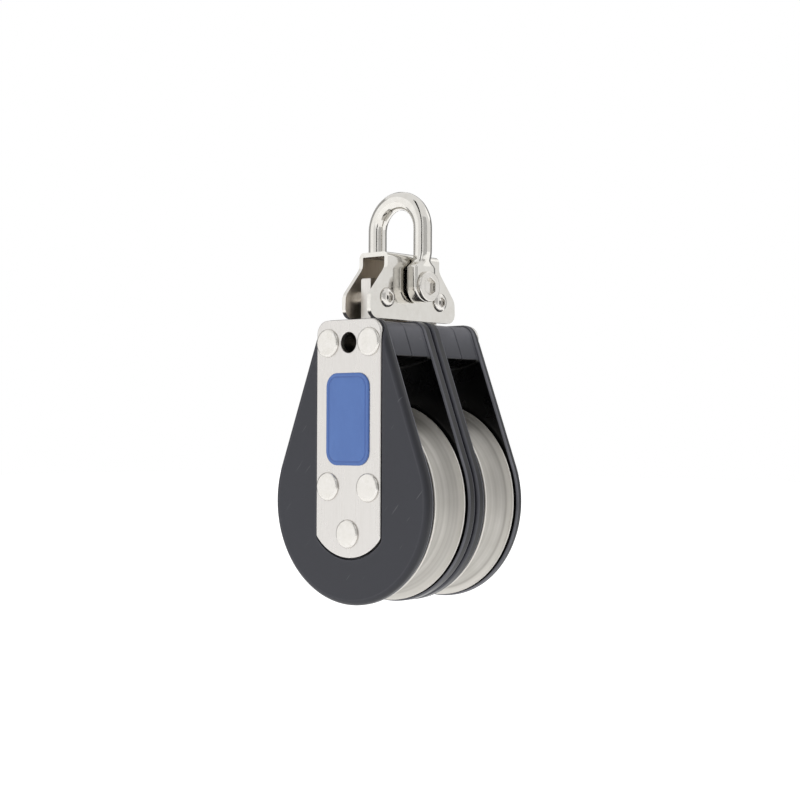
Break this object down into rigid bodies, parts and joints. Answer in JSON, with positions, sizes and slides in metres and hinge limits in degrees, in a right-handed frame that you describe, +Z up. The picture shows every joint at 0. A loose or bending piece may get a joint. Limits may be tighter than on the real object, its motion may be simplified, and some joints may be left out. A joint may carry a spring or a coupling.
{
  "type": "double sheave block",
  "caption": "Double rope block: ball-bearing sheaves side by side between black cheeks, riveted steel straps, folded head saddle and a bow shackle it hangs and swings from.",
  "frame": {"origin": "inside of the shackle's crown, where the eye that carries the block bears", "axes": "+Z up through the shackle and away from the sheaves; the sheaves turn about Y, with the front half towards -Y; +X to the right of the front face, along the shackle pin towards its head"},
  "size_m": [0.058, 0.0464, 0.1195],
  "materials": {
    "polished_stainless": "mechanically polished stainless steel",
    "rolled_stainless": "lightly polished stainless sheet",
    "fastener_stainless": "tumbled stainless steel",
    "lug_stainless": "satin stainless bar",
    "black_nylon": "glass-filled nylon, fine moulded texture",
    "sheave_alloy": "bead-blasted, clear anodised",
    "race_stainless": "turned stainless steel",
    "ball_plastic": "ivory acetal",
    "bearing_plastic": "moulded acetal",
    "blue_badge": "soft-gloss moulded badge"
  },
  "bodies": {
    "shackle": {"shackle_bow": "polished_stainless", "shackle_pin": "polished_stainless"},
    "front_sheave_body": {"front_sheave": "sheave_alloy", "front_outer_ball_retainer": "bearing_plastic", "front_inner_ball_retainer": "bearing_plastic"},
    "rear_sheave_body": {"rear_sheave": "sheave_alloy", "rear_outer_ball_retainer": "bearing_plastic", "rear_inner_ball_retainer": "bearing_plastic"},
    "front_balls": {"front_ball_set": "ball_plastic"},
    "rear_balls": {"rear_ball_set": "ball_plastic"},
    "block": {"becket_sleeve": "fastener_stainless", "centre_strap": "rolled_stainless", "crown_rivet_left": "fastener_stainless", "crown_rivet_right": "fastener_stainless", "front_badge": "blue_badge", "front_barrel_nut": "fastener_stainless", "front_cross_screw": "fastener_stainless", "front_head_lug": "lug_stainless", "front_inner_cheek": "black_nylon", "front_inner_race": "race_stainless", "front_outer_cheek": "black_nylon", "front_side_strap": "rolled_stainless", "head_saddle": "polished_stainless", "hub_rivet_bottom": "fastener_stainless", "hub_rivet_left": "fastener_stainless", "hub_rivet_right": "fastener_stainless", "rear_badge": "blue_badge", "rear_barrel_nut": "fastener_stainless", "rear_cross_screw": "fastener_stainless", "rear_head_lug": "lug_stainless", "rear_inner_cheek": "black_nylon", "rear_inner_race": "race_stainless", "rear_outer_cheek": "black_nylon", "rear_side_strap": "rolled_stainless"}
  },
  "joints": [
    {"name": "block_swing", "type": "hinge", "parent": "shackle", "child": "block", "pos_m": [0, 0, -0.023], "axis": [1, 0, 0], "range_deg": [-80, 80]},
    {"name": "front_sheave_spin", "type": "hinge", "parent": "block", "child": "front_sheave_body", "pos_m": [0, -0.0113, -0.0851], "axis": [0, 1, 0], "continuous": true},
    {"name": "rear_sheave_spin", "type": "hinge", "parent": "block", "child": "rear_sheave_body", "pos_m": [0, 0.0113, -0.0851], "axis": [0, 1, 0], "continuous": true},
    {"name": "front_balls_roll", "type": "hinge", "parent": "block", "child": "front_balls", "pos_m": [0, -0.0113, -0.0851], "axis": [0, 1, 0], "continuous": true},
    {"name": "rear_balls_roll", "type": "hinge", "parent": "block", "child": "rear_balls", "pos_m": [0, 0.0113, -0.0851], "axis": [0, 1, 0], "continuous": true}
  ],
  "couplings": [
    {"joint": "front_balls_roll", "follows": "front_sheave_spin", "ratio": 0.58219},
    {"joint": "rear_balls_roll", "follows": "rear_sheave_spin", "ratio": 0.58219}
  ]
}
